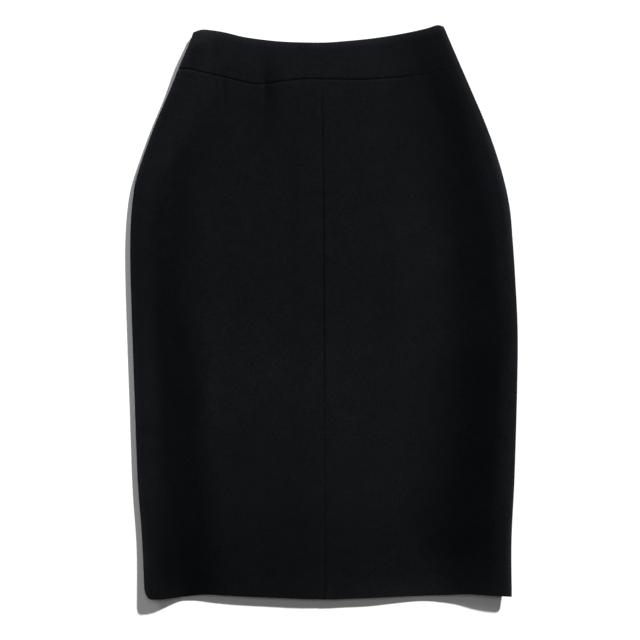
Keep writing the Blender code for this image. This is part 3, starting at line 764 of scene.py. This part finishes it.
def plain(name, colour, roughness, gloss, scale, bump):
    """A hard or threadlike material with a fine uneven surface."""
    made = bpy.data.materials.new(name)
    made.use_nodes = True
    tree = made.node_tree
    shader = tree.nodes["Principled BSDF"]
    where = tree.nodes.new("ShaderNodeTexCoord")
    grain = tree.nodes.new("ShaderNodeTexNoise")
    grain.inputs["Scale"].default_value = scale
    grain.inputs["Detail"].default_value = 2
    tree.links.new(where.outputs["Object"], grain.inputs["Vector"])
    relief = tree.nodes.new("ShaderNodeBump")
    relief.inputs["Strength"].default_value = bump
    relief.inputs["Distance"].default_value = 0.0001
    tree.links.new(grain.outputs["Fac"], relief.inputs["Height"])
    tree.links.new(relief.outputs["Normal"], shader.inputs["Normal"])
    shader.inputs["Base Color"].default_value = (*colour, 1)
    shader.inputs["Roughness"].default_value = roughness
    shader.inputs["Metallic"].default_value = 0.0
    shader.inputs["Specular IOR Level"].default_value = gloss
    return made


WOOL = fabric("wool_crepe", (0.0042, 0.0047, 0.0057), roughness=0.62, gloss=0.02, sheen=0.012, bump=0.20)
TAPE = plain("zip_tape_weave", (0.010, 0.010, 0.012), roughness=0.80, gloss=0.15, scale=2600, bump=0.6)
NYLON = plain("zip_coil_nylon", (0.015, 0.015, 0.017), roughness=0.35, gloss=0.5, scale=900, bump=0.1)
THREAD_BLACK = plain("thread", (0.012, 0.012, 0.014), roughness=0.55, gloss=0.3, scale=5000, bump=0.5)
ENAMEL = plain("zip_enamel", (0.020, 0.020, 0.022), roughness=0.30, gloss=0.6, scale=700, bump=0.08)


def make_panel(name, side, front, parts, rows, stitched):
    """A panel with its hem turned up. Returns the path of the stitches that hold the hem."""
    grid = shaped(surface(side, front, parts, "hem", "seam", rows), side, front, False)
    normal, along = faces_of(grid, front)
    outer, inner = turned_up(grid, normal, along, rows)
    shell(name, outer, inner, WOOL)
    return hem_stitches(grid, normal, rows, *stitched)


def band_half(side, front, parts, rows):
    return shaped(surface(side, front, parts, "seam", "waist", rows), side, front, True)


def make_band(name, grid, front, rows):
    normal, _ = faces_of(grid, front)
    outer, inner = band_faces(grid, normal, rows[-1] - np.array(rows))
    shell(name, outer, inner, WOOL)


def make_cloth():
    """The panels and the bands. Returns the paths of the stitches that hold the hem."""
    stitches = []
    parts = columns(20, 4, FRONT_FACE)
    for side, word in LEFT_RIGHT:
        stitches.append(make_panel("cloth_front_" + word, side, True, parts, FRONT_ROWS, FRONT_HEM_STITCHES))
    parts = columns(20, 4, FRONT_BAND_FACE)
    rows = band_rows(front_edge("waist", 1, 1) - front_edge("seam", 1, 1))
    left, right = (band_half(side, True, parts, rows) for side in (-1, 1))
    make_band("cloth_front_band", np.concatenate([left, right[:, ::-1]], axis=1), True, rows)
    parts = columns(12, 3, BACK_FACE)
    for side, word in LEFT_RIGHT:
        stitches.append(make_panel("cloth_back_" + word, side, False, parts, BACK_ROWS, BACK_HEM_STITCHES))
    for side, word in LEFT_RIGHT:
        rows = band_rows(back_edge("waist", side, 1) - back_edge("seam", side, 1))
        make_band("cloth_back_band_" + word, band_half(side, False, parts, rows), False, rows)
    return stitches


def tubes(name, paths, radius, material, sides=6):
    """Threads and wires: a round tube along each path, closed at its ends."""
    points, faces = [], []
    for path in paths:
        run = unit(np.gradient(path, axis=0))
        across = unit(np.cross(run[0], (0.31, 0.27, 0.91)))
        start = len(points)
        for n, middle in enumerate(path):
            across = unit(across - run[n] * np.dot(across, run[n]))
            second = np.cross(run[n], across)
            for k in range(sides):
                angle = 2 * math.pi * k / sides
                points.append(tuple(middle + radius * (across * math.cos(angle) + second * math.sin(angle))))
        for n in range(len(path) - 1):
            low = start + n * sides
            for k in range(sides):
                after = (k + 1) % sides
                faces.append((low + k, low + after, low + sides + after, low + sides + k))
        faces.append(tuple(range(start + sides - 1, start - 1, -1)))
        faces.append(tuple(range(len(points) - sides, len(points))))
    mesh_object(name, points, faces, material)


def zip_base(x, up):
    """The height at which the zip lies on the inside of the back, over its panel and then over its band."""
    over = CLOTH_WALL + ZIP_CLEAR + (BAND_WALL - CLOTH_WALL) * ease(up, *ZIP_ONTO_BAND)
    return back_height(x, up) + over + SLIDER_CLEAR * ease(up, *SLIDER_CLIMB)


def make_tapes():
    ups = np.linspace(ZIP_BOTTOM_UP, ZIP_TOP_UP, TAPE_ROWS)
    shares = np.linspace(0, 1, TAPE_COLUMNS)
    for side, word in LEFT_RIGHT:
        x = CENTRE(ups)[:, None] + side * (TAPE_INNER + (TAPE_OUTER - TAPE_INNER) * shares)[None, :]
        up = np.repeat(ups[:, None], TAPE_COLUMNS, axis=1)
        low = np.stack([x, up - LENGTH / 2, zip_base(x, up)], axis=-1)
        shell("tape_" + word, low, low + np.array([0, 0, TAPE_WALL]), TAPE)


def make_coil():
    """Two wires that lock into each other."""
    wires = []
    count = round((COIL_TOP_UP - ZIP_BOTTOM_UP) / COIL_PITCH * COIL_STEPS)
    up = np.linspace(ZIP_BOTTOM_UP + COIL_FOOT, COIL_TOP_UP, count)
    for side in (-1, 1):
        turn = 2 * math.pi * (up - up[0]) / COIL_PITCH + (math.pi if side > 0 else 0)
        x = CENTRE(up) + side * COIL_OFF + COIL_RADIUS * np.cos(turn)
        z = zip_base(x, up) + COIL_HEIGHT / 2 + COIL_WIRE + (COIL_HEIGHT / 2) * np.sin(turn)
        wires.append(np.stack([x, up - LENGTH / 2, z], axis=-1))
    tubes("zip_coil", wires, COIL_WIRE, NYLON)


def make_zip_stitches():
    """The stitches that sew the tapes on, and the bar tack that closes the zip's lower end."""
    threads = []
    starts = np.arange(ZIP_BOTTOM_UP + TAPE_STITCHED[0], ZIP_TOP_UP - TAPE_STITCHED[1], STITCH + STITCH_GAP)
    for side in (-1, 1):
        for off in TAPE_STITCHES:
            for start in starts:
                up = start + STITCH * np.array([0, 0.15, 0.85, 1])
                x = CENTRE(up) + side * off
                z = zip_base(x, up) + TAPE_WALL + THREAD * np.array([-1.0, 0.9, 0.9, -1.0])
                threads.append(np.stack([x, up - LENGTH / 2, z], axis=-1))
    across = TACK_HALF * np.array([-1, -0.8, -0.4, 0, 0.4, 0.8, 1])
    over = (COIL_HEIGHT + 2 * COIL_WIRE - TAPE_WALL) * np.array([0, 0.1, 1, 1, 1, 0.1, 0])
    for n in range(TACK_ROWS):
        up = np.full(len(across), ZIP_BOTTOM_UP + TACK_FOOT + TACK_PITCH * n)
        x = CENTRE(up) + across
        z = zip_base(x, up) + TAPE_WALL + THREAD + over
        threads.append(np.stack([x, up - LENGTH / 2, z], axis=-1))
    tubes("zip_stitches", threads, THREAD, THREAD_BLACK)


# What each piece was cut to, in metres, and its area in square metres: the panels with the hem that is turned up
# inside, and the bands to the fold at the waist
Cut = namedtuple("Cut", "piece node slot width length area rests_on")
BACK_BANDS = ["cloth_back_band_left", "cloth_back_band_right"]
CUTS = [
    Cut("cloth_front_left", "front_panel_left", "cloth", 0.241, 0.689, 0.1522, ["cloth_back_left"]),
    Cut("cloth_front_right", "front_panel_right", "cloth", 0.243, 0.690, 0.1542, ["cloth_back_right"]),
    Cut("cloth_front_band", "front_band", "cloth", 0.356, 0.056, 0.0171, BACK_BANDS),
    Cut("cloth_back_left", "back_panel_left", "cloth", 0.240, 0.690, 0.1527, ["floor"]),
    Cut("cloth_back_right", "back_panel_right", "cloth", 0.239, 0.690, 0.1530, ["floor"]),
    Cut("cloth_back_band_left", "back_band_left", "cloth", 0.180, 0.053, 0.0074, ["floor"]),
    Cut("cloth_back_band_right", "back_band_right", "cloth", 0.173, 0.055, 0.0072, ["floor"]),
    Cut("tape_left", "zip_tape_left", "zip_tape", 0.0114, 0.184, None, ["cloth_back_left", BACK_BANDS[0]]),
    Cut("tape_right", "zip_tape_right", "zip_tape", 0.0114, 0.184, None, ["cloth_back_right", BACK_BANDS[1]]),
]


def dress():
    """Puts every piece on its body and hides the CAD part that it stands for, and gives the slider and pull their
    enamel and softened edges.
    """
    for cut in CUTS:
        piece = bpy.data.objects[cut.piece]
        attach(piece, "skirt")
        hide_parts(cut.node)
    coil = bpy.data.objects["zip_coil"]
    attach(coil, "skirt")
    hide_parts("zip_chain")
    for name in ("zip_stitches", "hem_stitches"):
        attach(bpy.data.objects[name], "skirt")
    for node in ("zip_slider", "zip_pull"):
        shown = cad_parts[node]
        shown.data.materials.clear()
        shown.data.materials.append(ENAMEL)
        joined = shown.modifiers.new("joined", "WELD")
        joined.merge_threshold = 1e-6
        softened = shown.modifiers.new("softened", "BEVEL")
        softened.width, softened.segments = METAL_EDGE, 2
        softened.limit_method, softened.angle_limit = "ANGLE", math.radians(40)


def make_floor():
    material = bpy.data.materials.new("floor_white")
    material.use_nodes = True
    shader = material.node_tree.nodes["Principled BSDF"]
    shader.inputs["Base Color"].default_value = (0.80, 0.80, 0.80, 1)
    shader.inputs["Roughness"].default_value = 0.95
    shader.inputs["Specular IOR Level"].default_value = 0.0
    bpy.ops.mesh.primitive_plane_add(size=30, location=(0, 0, -0.0001))
    floor = bpy.context.object
    floor.name = "floor"
    floor.data.materials.append(material)


def add_light(name, kind, energy, toward, place=(0, 0, 0)):
    """A light that shines from the direction toward it."""
    light = bpy.data.lights.new(name, kind)
    light.energy = energy
    holder = bpy.data.objects.new(name, light)
    holder.location = place
    holder.rotation_mode = "QUATERNION"
    holder.rotation_quaternion = toward.to_track_quat("Z", "Y")
    bpy.context.scene.collection.objects.link(holder)
    return light


def area_light(name, energy, size, place, aim):
    light = add_light(name, "AREA", energy, Vector(place) - Vector(aim), place)
    light.shape = "RECTANGLE"
    light.size, light.size_y = size


def make_lights():
    """A key that throws the short hard shadow, a softbox over the floor and a fill from the upper left."""
    azimuth, elevation = math.radians(54.6), math.radians(28.5)
    level = math.cos(elevation)
    toward = Vector((level * math.cos(azimuth), level * math.sin(azimuth), math.sin(elevation)))
    key = add_light("key", "SUN", 7.8, toward)
    key.angle = math.radians(3.5)
    area_light("softbox", 6.0, (0.5, 0.9), place=(0.0, 0.5, 2.3), aim=(0.0, 0.1, 0.0))
    area_light("fill", 12.0, (0.6, 0.6), place=(-1.6, 1.3, 0.9), aim=(0.0, 0.0, 0.0))
    world = bpy.data.worlds.new("studio")
    world.use_nodes = True
    back = world.node_tree.nodes["Background"]
    back.inputs["Color"].default_value = (1, 1, 1, 1)
    back.inputs["Strength"].default_value = 0.088
    bpy.context.scene.world = world
    bpy.context.scene.view_settings.view_transform = "Standard"


def make_camera():
    """Straight above, at the height from which the picture takes in its 640 pixels at 1.22 mm each."""
    camera = bpy.data.cameras.new("camera")
    camera.lens, camera.sensor_width = 100, 36
    camera.clip_start, camera.clip_end = 0.05, 60
    holder = bpy.data.objects.new("camera", camera)
    across = 640 * 0.00122
    holder.location = (-0.00415, -0.00952, 0.006 + across * camera.lens / camera.sensor_width)
    bpy.context.scene.collection.objects.link(holder)
    bpy.context.scene.camera = holder


make_camera()
hem_paths = make_cloth()
make_tapes()
make_coil()
make_zip_stitches()
tubes("hem_stitches", hem_paths, THREAD, THREAD_BLACK)
dress()
make_floor()
make_lights()
